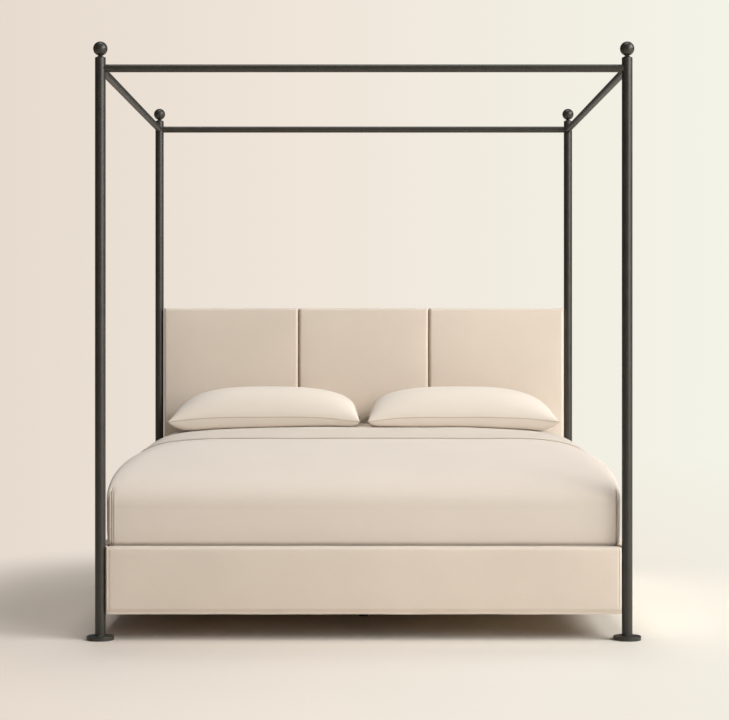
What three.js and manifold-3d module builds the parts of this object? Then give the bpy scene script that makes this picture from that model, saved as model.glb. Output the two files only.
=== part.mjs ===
// A king-size four-poster canopy bed: a round-tube steel frame with ball finials, upholstered rails and
// headboard, a slatted base on a centre beam, and a mattress made up with a coverlet and two pillows.
// Millimetres, +Z up. The origin is on the floor under the middle of the bed, and the head is towards +Y.
// Left and right are as seen from the foot, so left is -X.
import * as THREE from "three";
import { mergeVertices } from "three/addons/utils/BufferGeometryUtils.js";
import Module from "manifold-3d";

// ---------------------------------------------------------------- driving dimensions
const POST_X = 990; // post axes, either side of the middle
const POST_Y = 1055;
const POST_RADIUS = 20; // 40 mm tube
const POST_TOP = 2188;
const TUBE_WALL = 2;
const CANOPY_RADIUS = 14.2;
const CANOPY_Z = 2147;
const BALL_RADIUS = 27;
const BALL_Z = 2221;
const FLANGE_RADIUS = 52;
const FLANGE_HEIGHT = 14;

const RAIL_BOTTOM = 97; // upholstered rails and headboard
const RAIL_HEIGHT = 253;
const RAIL_THICKNESS = 40;
const RAIL_CORNER = 10;
const CORE_THICKNESS = 22.4;
const HEADBOARD_HALF_WIDTH = 966;
const HEADBOARD_TOP = 1281;
const HEADBOARD_FRONT_Y = 1020;

const SLAT_COUNT = 9;
const SLAT_WIDTH = 140;
const SLAT_THICKNESS = 20;
const SLAT_SEAT_Z = 225; // top of the ledgers and of the centre beam
const LEG_Y = 420; // centre legs, either side of the middle

const MATTRESS_HALF_WIDTH = 955;
const MATTRESS_TOP = 568;
const MATTRESS_FOOT_Y = -1018;
const MATTRESS_HEAD_Y = 1000;
const MATTRESS_EDGE = 60;

const COVER_HALF_WIDTH = 972;
const COVER_TUCKED_HALF_WIDTH = 966; // where it is tucked down inside the rails
const COVER_FOOT_Y = -1033;
const COVER_HEAD_Y = 1003;
const COVER_HEM_Z = 300;
const COVER_SHOULDER_Z = 500; // where the sides start to round over
const COVER_CROWN_Z = 708;

const SHEET_FOLD_Y = -55; // the turned-down sheet's folded edge
const SHEET_HEAD_Y = 925;
const SHEET_HEM_Z = 358;
const SHEET_THICKNESS = 3;

const PILLOW = { x: 453, y: 762, halfWidth: 437, halfDepth: 248, seamZ: 778, above: 139, below: 64 };

const GAP = 0.3; // between pieces that touch
const ROUND = 20; // sides of the larger round parts
const SMALL_ROUND = 12;
const TINY_ROUND = 12;

// ---------------------------------------------------------------- materials
const paint = (name, color, roughness, metalness = 0) =>
  new THREE.MeshStandardMaterial({ name, color, roughness, metalness });
const blackSteel = paint("black_steel", 0x38352f, 0.42, 0.6);
const zincSteel = paint("zinc_steel", 0xa7a9a8, 0.35, 0.9);
const upholstery = paint("upholstery", 0xd6c3b0, 0.9);
const dustCloth = paint("dust_cloth", 0x8d8478, 0.95);
const plywood = paint("plywood", 0xc9a777, 0.7);
const slatWood = paint("slat_wood", 0xd8b98a, 0.65);
const ticking = paint("ticking", 0xece6db, 0.9);
const coverCloth = paint("coverlet_cloth", 0xe3d8ca, 0.85);
const sheetCloth = paint("sheet_cloth", 0xe8decf, 0.85);
const pillowCloth = paint("pillow_cloth", 0xe9dece, 0.85);
const blackPlastic = paint("black_plastic", 0x1d1d1d, 0.5);

// ---------------------------------------------------------------- solids
const wasm = await Module();
wasm.setup();

function solidOf(geometry) {
  const bare = new THREE.BufferGeometry();
  const source = geometry.index ? geometry.toNonIndexed() : geometry;
  bare.setAttribute("position", source.getAttribute("position"));
  const merged = mergeVertices(bare, 1e-4);
  return new wasm.Manifold(
    new wasm.Mesh({
      numProp: 3,
      vertProperties: merged.getAttribute("position").array,
      triVerts: Uint32Array.from(merged.index.array),
    }),
  );
}

function geometryOf(solid) {
  const mesh = solid.getMesh();
  const geometry = new THREE.BufferGeometry();
  geometry.setAttribute("position", new THREE.BufferAttribute(mesh.vertProperties, mesh.numProp));
  geometry.setIndex(new THREE.BufferAttribute(mesh.triVerts, 1));
  return geometry;
}

const cut = (from, ...tools) =>
  geometryOf(tools.reduce((solid, tool) => solid.subtract(solidOf(tool)), solidOf(from)));
const join = (...pieces) =>
  geometryOf(pieces.slice(1).reduce((solid, piece) => solid.add(solidOf(piece)), solidOf(pieces[0])));

const UP = new THREE.Vector3(0, 0, 1);

// A solid of revolution about Z from [radius, z] points, which run anticlockwise: out, up and back in.
const turned = (profile, sides) =>
  new THREE.LatheGeometry(
    profile.map(([r, z]) => new THREE.Vector2(r, z)),
    sides,
  ).rotateX(Math.PI / 2);

// A pipe about Z; the profile closes on itself.
const pipe = (inner, outer, low, high, sides) =>
  turned([[inner, low], [outer, low], [outer, high], [inner, high], [inner, low]], sides);

// A rod from start to end, two [x, y, z] points.
function rod(radius, start, end, sides) {
  const from = new THREE.Vector3(...start);
  const to = new THREE.Vector3(...end);
  const along = to.clone().sub(from);
  const turn = new THREE.Quaternion().setFromUnitVectors(UP, along.clone().normalize());
  const middle = from.add(to).multiplyScalar(0.5);
  return new THREE.CylinderGeometry(radius, radius, along.length(), sides)
    .rotateX(Math.PI / 2)
    .applyQuaternion(turn)
    .translate(middle.x, middle.y, middle.z);
}

// A box between its lowest and highest corners.
function block([x0, y0, z0], [x1, y1, z1]) {
  return new THREE.BoxGeometry(x1 - x0, y1 - y0, z1 - z0).translate(
    (x0 + x1) / 2,
    (y0 + y1) / 2,
    (z0 + z1) / 2,
  );
}

const outline = (points) => new THREE.Shape(points.map(([x, y]) => new THREE.Vector2(x, y)));

// A flat outline in XY raised from low to high.
const raised = (points, low, high) =>
  new THREE.ExtrudeGeometry(outline(points), {
    depth: high - low,
    bevelEnabled: false,
  }).translate(0, 0, low);

function roundedRectangle(halfWidth, halfLength, radius, arcSteps) {
  const points = [];
  for (const [corner, [sx, sy]] of [[1, 1], [-1, 1], [-1, -1], [1, -1]].entries()) {
    for (let step = 0; step <= arcSteps; step += 1) {
      const angle = ((corner + step / arcSteps) * Math.PI) / 2;
      points.push([
        sx * (halfWidth - radius) + radius * Math.cos(angle),
        sy * (halfLength - radius) + radius * Math.sin(angle),
      ]);
    }
  }
  return points;
}

// ---------------------------------------------------------------- scene graph
const bed = new THREE.Group();

function add(name, geometry, material, position = [0, 0, 0], parent = bed) {
  const mesh = new THREE.Mesh(geometry, material);
  mesh.name = name;
  mesh.position.set(...position);
  parent.add(mesh);
  return mesh;
}

const SIDES = [
  { side: "left", sx: -1 },
  { side: "right", sx: 1 },
];
const CORNERS = SIDES.flatMap(({ side, sx }) => [
  { corner: `front_${side}`, sx, sy: -1 },
  { corner: `rear_${side}`, sx, sy: 1 },
]);

// ---------------------------------------------------------------- posts, finials and feet
const POST_BORE = POST_RADIUS - TUBE_WALL;
const PLUG_RADIUS = POST_BORE - 0.35; // slides into the ends of a post
const FINIAL_PLUG = 28;
const FLANGE_PLUG = 38;
const SPIGOT_RADIUS = 8; // on the ends of the canopy rails
const SPIGOT_REACH = 9; // from the post's axis
const SCREW_RADIUS = 3;
const SCREW_Z = 2176;
const SCREW_REACH = 12.5;
const BOLT_RADIUS = 4;
const HOLE_CLEARANCE = 0.4;
const CORNER_BOLT_Z = 180;
const HEADBOARD_BOLT_Z = 560;

function postTube(sx, sy) {
  const out = POST_RADIUS + 5;
  const drill = (radius, end, z, start = [0, 0]) =>
    rod(radius + HOLE_CLEARANCE, [...start, z], [...end, z], TINY_ROUND);
  const bolts =
    sy < 0
      ? [drill(BOLT_RADIUS, [-sx * out, out], CORNER_BOLT_Z)]
      : [drill(BOLT_RADIUS, [-out, 0], HEADBOARD_BOLT_Z, [out, 0])];
  return cut(
    pipe(POST_BORE, POST_RADIUS, FLANGE_HEIGHT, POST_TOP, ROUND),
    drill(SPIGOT_RADIUS, [-sx * out, 0], CANOPY_Z),
    drill(SPIGOT_RADIUS, [0, -sy * out], CANOPY_Z),
    drill(SCREW_RADIUS, [0, -out], SCREW_Z),
    ...bolts,
  );
}

// A plug in the post's top, a short flared neck and the ball.
function finial() {
  const neck = [[18.4, 1.6], [15, 2.4], [11, 4.4], [8.2, 6.3]].map(([r, z]) => [r, POST_TOP + z]);
  const neckAngle = -Math.acos(7.6 / BALL_RADIUS);
  const steps = 7;
  const ball = [];
  for (let step = 0; step < steps; step += 1) {
    const angle = neckAngle + ((Math.PI / 2 - neckAngle) * step) / steps;
    ball.push([BALL_RADIUS * Math.cos(angle), BALL_Z + BALL_RADIUS * Math.sin(angle)]);
  }
  const body = turned(
    [
      [0, POST_TOP - FINIAL_PLUG],
      [PLUG_RADIUS, POST_TOP - FINIAL_PLUG],
      [PLUG_RADIUS, POST_TOP + GAP],
      [18.4, POST_TOP + GAP],
      ...neck,
      ...ball,
      [0, BALL_Z + BALL_RADIUS],
    ],
    ROUND,
  );
  const screwHole = rod(
    SCREW_RADIUS + HOLE_CLEARANCE,
    [0, -SCREW_REACH + GAP, SCREW_Z],
    [0, -POST_RADIUS, SCREW_Z],
    TINY_ROUND,
  );
  return cut(body, screwHole);
}

// A grub screw with a hexagon socket, through the post's wall into the finial's plug.
function setScrew() {
  const face = -POST_RADIUS - 0.4;
  return cut(
    rod(SCREW_RADIUS, [0, -SCREW_REACH, SCREW_Z], [0, face, SCREW_Z], TINY_ROUND),
    rod(SCREW_RADIUS * 0.6, [0, face + 3, SCREW_Z], [0, face - 1, SCREW_Z], 6),
  );
}

// A floor flange with an eased rim and a plug that stands up inside the post.
const footFlange = () =>
  turned(
    [
      [0, 0],
      [FLANGE_RADIUS - 1, 0],
      [FLANGE_RADIUS, 1.5],
      [FLANGE_RADIUS, FLANGE_HEIGHT - 4],
      [FLANGE_RADIUS - 1.2, FLANGE_HEIGHT - 1.6],
      [FLANGE_RADIUS - 4, FLANGE_HEIGHT - GAP],
      [PLUG_RADIUS, FLANGE_HEIGHT - GAP],
      [PLUG_RADIUS, FLANGE_HEIGHT + FLANGE_PLUG],
      [0, FLANGE_HEIGHT + FLANGE_PLUG],
    ],
    ROUND,
  );

for (const { corner, sx, sy } of CORNERS) {
  const place = [sx * POST_X, sy * POST_Y, 0];
  add(`post_${corner}`, postTube(sx, sy), blackSteel, place);
  add(`finial_${corner}`, finial(), blackSteel, place);
  add(`finial_set_screw_${corner}`, setScrew(), zincSteel, place);
  add(`foot_flange_${corner}`, footFlange(), blackSteel, place);
}

// ---------------------------------------------------------------- canopy rails
// Built along Z between two post axes, which are length apart: a tube coped to fit the posts, with a
// bored spigot welded into each end that plugs into the post's wall.
function canopyRail(length) {
  const bore = CANOPY_RADIUS - TUBE_WALL;
  const tube = pipe(bore, CANOPY_RADIUS, 0, length, SMALL_ROUND);
  const cope = (z) => rod(POST_RADIUS + 0.7, [-40, 0, z], [40, 0, z], ROUND);
  const spigot = turned(
    [
      [5, SPIGOT_REACH],
      [SPIGOT_RADIUS, SPIGOT_REACH],
      [SPIGOT_RADIUS, 30],
      [bore + 0.3, 30],
      [bore + 0.3, 42],
      [5, 42],
      [5, SPIGOT_REACH],
    ],
    SMALL_ROUND,
  );
  const farSpigot = spigot.clone().rotateX(Math.PI).translate(0, 0, length);
  return join(cut(tube, cope(0), cope(length)), spigot, farSpigot);
}

const acrossRail = canopyRail(2 * POST_X).rotateY(Math.PI / 2);
const alongRail = canopyRail(2 * POST_Y).rotateZ(Math.PI / 2).rotateX(-Math.PI / 2);
add("canopy_rail_front", acrossRail, blackSteel, [-POST_X, -POST_Y, CANOPY_Z]);
add("canopy_rail_rear", acrossRail, blackSteel, [-POST_X, POST_Y, CANOPY_Z]);
add("canopy_rail_left", alongRail, blackSteel, [-POST_X, -POST_Y, CANOPY_Z]);
add("canopy_rail_right", alongRail, blackSteel, [POST_X, -POST_Y, CANOPY_Z]);

// ---------------------------------------------------------------- upholstered rails
// Each rail is drawn in its own frame: X outwards, Y up from the rail's bottom edge, Z along its length.
const HALF_RAIL = RAIL_THICKNESS / 2;
const CORE_INNER = HALF_RAIL - 3; // the core's inner face, inwards of the post line
const PAD = 8; // padding over the core's top and bottom edges
const RETURN = 40; // cloth turned in and stapled on the core's inner face
const CORE_END = 27; // from the post's axis to the end of a core
const COVER_END = POST_RADIUS + 1.45;
const LEDGER = { depth: 30, height: 40, end: 105 };

function railCover(length) {
  const coreOuter = CORE_THICKNESS - CORE_INNER + GAP;
  const shape = new THREE.Shape();
  shape.moveTo(-HALF_RAIL, 0);
  shape.lineTo(HALF_RAIL - RAIL_CORNER, 0);
  shape.absarc(HALF_RAIL - RAIL_CORNER, RAIL_CORNER, RAIL_CORNER, -Math.PI / 2, 0);
  shape.absarc(HALF_RAIL - RAIL_CORNER, RAIL_HEIGHT - RAIL_CORNER, RAIL_CORNER, 0, Math.PI / 2);
  shape.lineTo(-HALF_RAIL, RAIL_HEIGHT);
  shape.lineTo(-HALF_RAIL, RAIL_HEIGHT - RETURN);
  shape.lineTo(-CORE_INNER - GAP, RAIL_HEIGHT - RETURN);
  shape.lineTo(-CORE_INNER - GAP, RAIL_HEIGHT - PAD);
  shape.lineTo(coreOuter, RAIL_HEIGHT - PAD);
  shape.lineTo(coreOuter, PAD);
  shape.lineTo(-CORE_INNER - GAP, PAD);
  shape.lineTo(-CORE_INNER - GAP, RETURN);
  shape.lineTo(-HALF_RAIL, RETURN);
  const settings = { depth: length, bevelEnabled: false, curveSegments: 4 };
  return new THREE.ExtrudeGeometry(shape, settings).translate(0, 0, -length / 2);
}

const railCore = (length) =>
  block(
    [-CORE_INNER, PAD + GAP, -length / 2],
    [CORE_THICKNESS - CORE_INNER, RAIL_HEIGHT - PAD - GAP, length / 2],
  );

function upholsteredRail(name, outward, postDistance, reach) {
  const rail = new THREE.Group();
  const along = new THREE.Vector3().crossVectors(outward, UP);
  rail.quaternion.setFromRotationMatrix(new THREE.Matrix4().makeBasis(outward, UP, along));
  rail.position.copy(outward).multiplyScalar(postDistance).setZ(RAIL_BOTTOM);
  bed.add(rail);
  const [kind, side = ""] = name;
  add(`${kind}_cover${side}`, railCover(2 * (reach - COVER_END)), upholstery, [0, 0, 0], rail);
  add(`${kind}_core${side}`, railCore(2 * (reach - CORE_END)), plywood, [0, 0, 0], rail);
  return rail;
}

upholsteredRail(["foot_rail"], new THREE.Vector3(0, -1, 0), POST_Y, POST_X);
for (const { side, sx } of SIDES) {
  const rail = upholsteredRail(["side_rail", `_${side}`], new THREE.Vector3(sx, 0, 0), POST_X, POST_Y);
  const seat = SLAT_SEAT_Z - RAIL_BOTTOM;
  const inner = -CORE_INNER - GAP;
  const half = POST_Y - LEDGER.end;
  const strip = block([inner - LEDGER.depth, seat - LEDGER.height, -half], [inner, seat, half]);
  add(`slat_ledger_${side}`, strip, slatWood, [0, 0, 0], rail);
}

// ---------------------------------------------------------------- corner fittings
// Drawn about a post's axis with X and Y both towards the middle of the bed; place() turns them to a corner.
const FITTING = { low: 141, high: 220, thickness: 4, reach: 95, bend: 46 };
const BOLT_HEAD = { radius: 7.5, height: 5.5 };
const inwards = CORE_INNER + GAP;

const place = (points, sx, sy) => points.map(([x, y]) => [-sx * x, -sy * y]);

// A plate folded round the inside of the corner, with a face square to the bolt.
function cornerBracket(sx) {
  const { thickness, reach, bend, low, high } = FITTING;
  const inner = inwards + thickness;
  const innerBend = inwards + bend + thickness * Math.SQRT2 - inner;
  const points = [
    [inwards, reach], [inwards, bend], [bend, inwards], [reach, inwards],
    [reach, inner], [innerBend, inner], [inner, innerBend], [inner, reach],
  ];
  const plate = raised(place(points, sx, -1), low, high);
  const hole = rod(
    BOLT_RADIUS + HOLE_CLEARANCE,
    [-sx * 20, 20, CORNER_BOLT_Z],
    [-sx * 50, 50, CORNER_BOLT_Z],
    TINY_ROUND,
  );
  return cut(plate, hole);
}

// A bolt whose head seats at seat and whose shank ends at tip, both distances along a level direction.
function bolt(direction, tip, seat) {
  const [dx, dy] = direction;
  const at = (distance, z) => [dx * distance, dy * distance, z];
  const z = 0;
  const away = Math.sign(seat - tip);
  return join(
    rod(BOLT_RADIUS, at(tip, z), at(seat + away, z), TINY_ROUND),
    rod(BOLT_HEAD.radius, at(seat, z), at(seat + away * BOLT_HEAD.height, z), 6),
  );
}

// An angle on the side rail's core that hooks over the front of the headboard.
function hookBracket(sx) {
  const { thickness, reach, low, high } = FITTING;
  const front = POST_Y - HEADBOARD_FRONT_Y + GAP;
  const points = [
    [inwards, front], [75, front], [75, front + thickness],
    [inwards + thickness, front + thickness], [inwards + thickness, reach], [inwards, reach],
  ];
  return raised(place(points, sx, 1), low, high);
}

const bracketFace = (inwards + FITTING.bend) / Math.SQRT2 + FITTING.thickness;
for (const { side, sx } of SIDES) {
  const front = [sx * POST_X, -POST_Y, 0];
  const rear = [sx * POST_X, POST_Y, 0];
  const diagonal = [-sx * Math.SQRT1_2, Math.SQRT1_2];
  add(`corner_bracket_front_${side}`, cornerBracket(sx), zincSteel, front);
  add(`corner_bolt_front_${side}`, bolt(diagonal, 6, bracketFace + GAP), zincSteel, [
    front[0], front[1], CORNER_BOLT_Z,
  ]);
  add(`hook_bracket_rear_${side}`, hookBracket(sx), zincSteel, rear);
  add(`headboard_bolt_${side}`, bolt([sx, 0], -65, POST_RADIUS + GAP), blackSteel, [
    rear[0], rear[1], HEADBOARD_BOLT_Z,
  ]);
}

// ---------------------------------------------------------------- headboard
const PANEL = { thickness: 24, gap: 4, corner: 9, seamX: 314.5 };
const HEADBOARD_HEIGHT = HEADBOARD_TOP - RAIL_BOTTOM;
const CORE_FRONT_Y = HEADBOARD_FRONT_Y + PANEL.thickness + GAP;
const BACK_FRONT_Y = CORE_FRONT_Y + CORE_THICKNESS + GAP;

// A flat pad with eased edges, standing on Z = 0 with its front face towards -Y at Y = 0.
function pad(width, height, thickness, ease) {
  const shape = outline(roundedRectangle(width / 2 - ease, height / 2 - ease, 2, 1));
  return new THREE.ExtrudeGeometry(shape, {
    depth: thickness - 2 * ease,
    bevelSize: ease,
    bevelThickness: ease,
    bevelSegments: 2,
  })
    .rotateX(Math.PI / 2)
    .translate(0, thickness - ease, height / 2);
}

const panelInnerX = PANEL.seamX + PANEL.gap / 2;
const panelSpans = {
  left: [-HEADBOARD_HALF_WIDTH, -panelInnerX],
  centre: [PANEL.gap / 2 - PANEL.seamX, PANEL.seamX - PANEL.gap / 2],
  right: [panelInnerX, HEADBOARD_HALF_WIDTH],
};
for (const [side, [from, to]] of Object.entries(panelSpans)) {
  const panel = pad(to - from, HEADBOARD_HEIGHT, PANEL.thickness, PANEL.corner);
  add(`headboard_panel_${side}`, panel, upholstery, [(from + to) / 2, HEADBOARD_FRONT_Y, RAIL_BOTTOM]);
}
const boardHalf = HEADBOARD_HALF_WIDTH - 4;
const board = block([-boardHalf, 0, 0], [boardHalf, CORE_THICKNESS, HEADBOARD_HEIGHT - 8]);
const boltHoles = SIDES.map(({ sx }) => {
  const z = HEADBOARD_BOLT_Z - RAIL_BOTTOM;
  const y = POST_Y - CORE_FRONT_Y;
  return rod(BOLT_RADIUS + HOLE_CLEARANCE, [sx * 920, y, z], [sx * 1000, y, z], TINY_ROUND);
});
add("headboard_core", cut(board, ...boltHoles), plywood, [0, CORE_FRONT_Y, RAIL_BOTTOM]);
const backHalf = HEADBOARD_HALF_WIDTH - 2;
const back = block([-backHalf, 0, 0], [backHalf, 4, HEADBOARD_HEIGHT - 6]);
add("headboard_back_cover", back, dustCloth, [0, BACK_FRONT_Y, RAIL_BOTTOM]);

// ---------------------------------------------------------------- centre beam, legs and slats
const BEAM = { halfWidth: 20, height: 60, wall: 2 };
const END_PLATE = { halfWidth: 45, low: 148, high: 224, thickness: 4, hole: 10 };
const beamFoot = -POST_Y + CORE_INNER + GAP;
const beamHead = HEADBOARD_FRONT_Y - GAP;
const beamBottom = SLAT_SEAT_Z - BEAM.height;

// A box-section tube with a flat plate welded on each end.
function centreBeam() {
  const { halfWidth, wall } = BEAM;
  const tubeFoot = beamFoot + 1;
  const tubeHead = beamHead - 1;
  const plate = (foot) =>
    cut(
      block(
        [-END_PLATE.halfWidth, foot, END_PLATE.low],
        [END_PLATE.halfWidth, foot + END_PLATE.thickness, END_PLATE.high],
      ),
      rod(END_PLATE.hole, [0, foot - 5, beamBottom + 30], [0, foot + 10, beamBottom + 30], TINY_ROUND),
    );
  const tube = cut(
    block([-halfWidth, tubeFoot, beamBottom], [halfWidth, tubeHead, SLAT_SEAT_Z]),
    block(
      [-halfWidth + wall, tubeFoot - 5, beamBottom + wall],
      [halfWidth - wall, tubeHead + 5, SLAT_SEAT_Z - wall],
    ),
  );
  return join(tube, plate(beamFoot), plate(beamHead - END_PLATE.thickness));
}

const LEG = { radius: 16, bottom: 22, plug: 12, plateRadius: 30, plate: 4, bore: 4.5 };
const GLIDE = { radius: 20, pad: 8, stem: 4, top: 52 };

function centreLeg() {
  const top = beamBottom - GAP;
  const under = top - LEG.plate;
  const bore = LEG.radius - TUBE_WALL;
  const tube = turned(
    [
      [LEG.bore, LEG.bottom],
      [LEG.radius, LEG.bottom],
      [LEG.radius, under + 1],
      [bore, under + 1],
      [bore, LEG.bottom + LEG.plug],
      [LEG.bore, LEG.bottom + LEG.plug],
      [LEG.bore, LEG.bottom],
    ],
    SMALL_ROUND,
  );
  return join(tube, rod(LEG.plateRadius, [0, 0, under], [0, 0, top], SMALL_ROUND));
}

// A screw-in levelling foot: a pad with an eased rim on a threaded stem.
const levellingGlide = () =>
  turned(
    [
      [0, 0],
      [GLIDE.radius - 1.5, 0],
      [GLIDE.radius, 1.5],
      [GLIDE.radius, GLIDE.pad - 3],
      [GLIDE.radius - 3, GLIDE.pad],
      [GLIDE.stem, GLIDE.pad],
      [GLIDE.stem, GLIDE.top],
      [0, GLIDE.top],
    ],
    SMALL_ROUND,
  );

add("centre_beam", centreBeam(), blackSteel);
for (const [place, sy] of [["front", -1], ["rear", 1]]) {
  add(`centre_leg_${place}`, centreLeg(), blackSteel, [0, sy * LEG_Y, 0]);
  add(`levelling_glide_${place}`, levellingGlide(), blackPlastic, [0, sy * LEG_Y, 0]);
}

const SLAT_HALF_LENGTH = 968;
const SLAT_EDGE = 4;
const slatFootY = -940;
const slatHeadY = 925;
function slat() {
  const half = SLAT_WIDTH / 2;
  const section = [
    [-half, 0], [half, 0], [half, SLAT_THICKNESS - SLAT_EDGE],
    [half - SLAT_EDGE, SLAT_THICKNESS], [-half + SLAT_EDGE, SLAT_THICKNESS], [-half, SLAT_THICKNESS - SLAT_EDGE],
  ];
  return raised(section, -SLAT_HALF_LENGTH, SLAT_HALF_LENGTH).rotateX(Math.PI / 2).rotateZ(Math.PI / 2);
}
for (let index = 0; index < SLAT_COUNT; index += 1) {
  const y = slatFootY + ((slatHeadY - slatFootY) * index) / (SLAT_COUNT - 1);
  const name = `slat_${String(index + 1).padStart(2, "0")}`;
  add(name, slat(), slatWood, [0, y, SLAT_SEAT_Z + GAP]);
}

// ---------------------------------------------------------------- mattress and bedding
const MATTRESS_BOTTOM = SLAT_SEAT_Z + SLAT_THICKNESS + 2 * GAP;

// A block with rounded upright corners and eased top and bottom edges.
function mattressBlock(halfWidth, footY, headY, bottom, top) {
  const halfLength = (headY - footY) / 2;
  const shape = outline(
    roundedRectangle(halfWidth - MATTRESS_EDGE, halfLength - MATTRESS_EDGE, MATTRESS_EDGE / 2, 2),
  );
  return new THREE.ExtrudeGeometry(shape, {
    depth: top - bottom - 2 * MATTRESS_EDGE,
    bevelSize: MATTRESS_EDGE,
    bevelThickness: MATTRESS_EDGE,
    bevelSegments: 3,
  }).translate(0, (footY + headY) / 2, bottom + MATTRESS_EDGE);
}

// The height of the made bed: full in the middle, rounding down to the foot and both sides.
function coverTop(x, y) {
  const rise = COVER_CROWN_Z - COVER_SHOULDER_Z;
  const crestY = 200;
  const toFoot = Math.max(0, (crestY - y) / (crestY - COVER_FOOT_Y));
  const toHead = Math.max(0, (y - 930) / (COVER_HEAD_Y - 930));
  const lengthwise = 1 - (1 - toFoot ** 2) ** 0.37 * (1 - 0.12 * toHead ** 2);
  const across = 1 - (1 - Math.abs(x / COVER_HALF_WIDTH) ** 6) ** 0.19;
  return COVER_SHOULDER_Z + rise * (1 - Math.min(1, (lengthwise ** 4 + across ** 4) ** 0.25));
}

// A solid up to the made bed's surface and lift over it, from foot to head and down to hem.
function bedCap(halfWidth, foot, head, hem, lift) {
  const ease = (t) => Math.sign(t) * Math.sin((Math.abs(t) * Math.PI) / 2);
  const cap = new THREE.BoxGeometry(2, 2, 1, 12, 12, 3);
  const at = cap.getAttribute("position");
  for (let i = 0; i < at.count; i += 1) {
    const u = ease(at.getX(i));
    const y = THREE.MathUtils.mapLinear(ease(at.getY(i)), -1, 1, foot, head);
    const top = coverTop(COVER_HALF_WIDTH * u, y) + lift;
    at.setXYZ(i, halfWidth * u, y, hem + (at.getZ(i) + 0.5) * (top - hem));
  }
  return cap;
}

// A lofted cover over the mattress: top, foot and two sides, open at the head and underneath.
function coverlet() {
  const tuck = SIDES.map(({ sx }) => {
    const [x0, x1] = [sx * COVER_TUCKED_HALF_WIDTH, sx * 1000].sort((a, b) => a - b);
    return block([x0, -1100, 200], [x1, 1100, RAIL_BOTTOM + RAIL_HEIGHT + GAP]);
  });
  const room = mattressBlock(
    MATTRESS_HALF_WIDTH + 0.5,
    MATTRESS_FOOT_Y - 0.5,
    MATTRESS_HEAD_Y + 200,
    COVER_HEM_Z - 100,
    MATTRESS_TOP + 0.5,
  );
  return cut(bedCap(COVER_HALF_WIDTH, COVER_FOOT_Y, COVER_HEAD_Y, COVER_HEM_Z, 0), room, ...tuck);
}

// The sheet's top, folded back over the coverlet and hanging down its two sides.
function turnedDownSheet() {
  const lift = 1.2; // clear of the coverlet's facets
  const half = COVER_HALF_WIDTH + 2 * GAP;
  const outside = bedCap(
    half + SHEET_THICKNESS - 2 * GAP,
    SHEET_FOLD_Y,
    SHEET_HEAD_Y,
    SHEET_HEM_Z,
    lift + SHEET_THICKNESS,
  );
  return cut(outside, bedCap(half, SHEET_FOLD_Y - 200, SHEET_HEAD_Y + 200, SHEET_HEM_Z - 100, lift));
}

// A plump pillow: square in plan, a full crown above the seam and a flatter belly below it.
function pillow() {
  const ball = new THREE.SphereGeometry(1, 20, 12).rotateX(Math.PI / 2);
  const at = ball.getAttribute("position");
  const power = (value, exponent) => Math.sign(value) * Math.abs(value) ** exponent;
  for (let i = 0; i < at.count; i += 1) {
    const [x, y, z] = [at.getX(i), at.getY(i), at.getZ(i)];
    const girth = Math.hypot(x, y);
    const reach = girth ** 0.7;
    const [cx, cy] = girth > 1e-6 ? [x / girth, y / girth] : [0, 0];
    at.setXYZ(
      i,
      PILLOW.halfWidth * reach * power(cx, 0.5),
      PILLOW.halfDepth * reach * power(cy, 0.5),
      z > 0 ? PILLOW.above * z ** 0.9 : -PILLOW.below * Math.abs(z) ** 0.6,
    );
  }
  return ball;
}

const mattress = mattressBlock(
  MATTRESS_HALF_WIDTH,
  MATTRESS_FOOT_Y,
  MATTRESS_HEAD_Y,
  MATTRESS_BOTTOM,
  MATTRESS_TOP,
);
add("mattress", mattress, ticking);
add("coverlet", coverlet(), coverCloth);
add("turned_down_sheet", turnedDownSheet(), sheetCloth);
for (const { side, sx } of SIDES) {
  add(`pillow_${side}`, pillow(), pillowCloth, [sx * PILLOW.x, PILLOW.y, PILLOW.seamZ]);
}

export default bed;
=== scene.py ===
"""Looks of a king-size four-poster bed: steel frame, upholstered rails and headboard, made-up bedding.

Metres, in the CAD model's frame: the origin is on the floor under the middle of the bed, +Y points to the
headboard and +Z up. Left is -X, as seen from the foot.
"""

import math

import bmesh
import bpy
import numpy as np
from mathutils import Matrix, Vector, noise


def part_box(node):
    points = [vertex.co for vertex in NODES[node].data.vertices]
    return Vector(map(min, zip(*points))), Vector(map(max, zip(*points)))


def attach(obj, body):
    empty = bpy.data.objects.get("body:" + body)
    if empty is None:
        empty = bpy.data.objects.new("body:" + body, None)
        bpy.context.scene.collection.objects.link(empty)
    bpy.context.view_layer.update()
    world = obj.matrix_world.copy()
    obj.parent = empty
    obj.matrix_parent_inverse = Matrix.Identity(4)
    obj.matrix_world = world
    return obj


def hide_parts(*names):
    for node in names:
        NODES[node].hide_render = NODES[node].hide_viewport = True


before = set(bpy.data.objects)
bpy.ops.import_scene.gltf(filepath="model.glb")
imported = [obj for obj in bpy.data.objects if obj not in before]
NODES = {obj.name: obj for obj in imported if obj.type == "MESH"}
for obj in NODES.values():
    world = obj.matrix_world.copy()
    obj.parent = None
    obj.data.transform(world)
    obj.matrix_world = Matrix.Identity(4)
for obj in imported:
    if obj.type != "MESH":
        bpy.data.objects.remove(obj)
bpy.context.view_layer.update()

SCENE = bpy.context.scene
SIDES = (("left", -1), ("right", 1))
CORNERS = [f"{end}_{side}" for end in ("front", "rear") for side, _ in SIDES]


def middle(node):
    low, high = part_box(node)
    return (low + high) / 2


# ---- camera
CAMERA_HEIGHT = 1.123
CAMERA_DISTANCE = 7.276  # from the plane of the front posts
CAMERA_LENS = 95.6
CAMERA_SHIFT = (0.00103, -0.0263)


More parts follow.
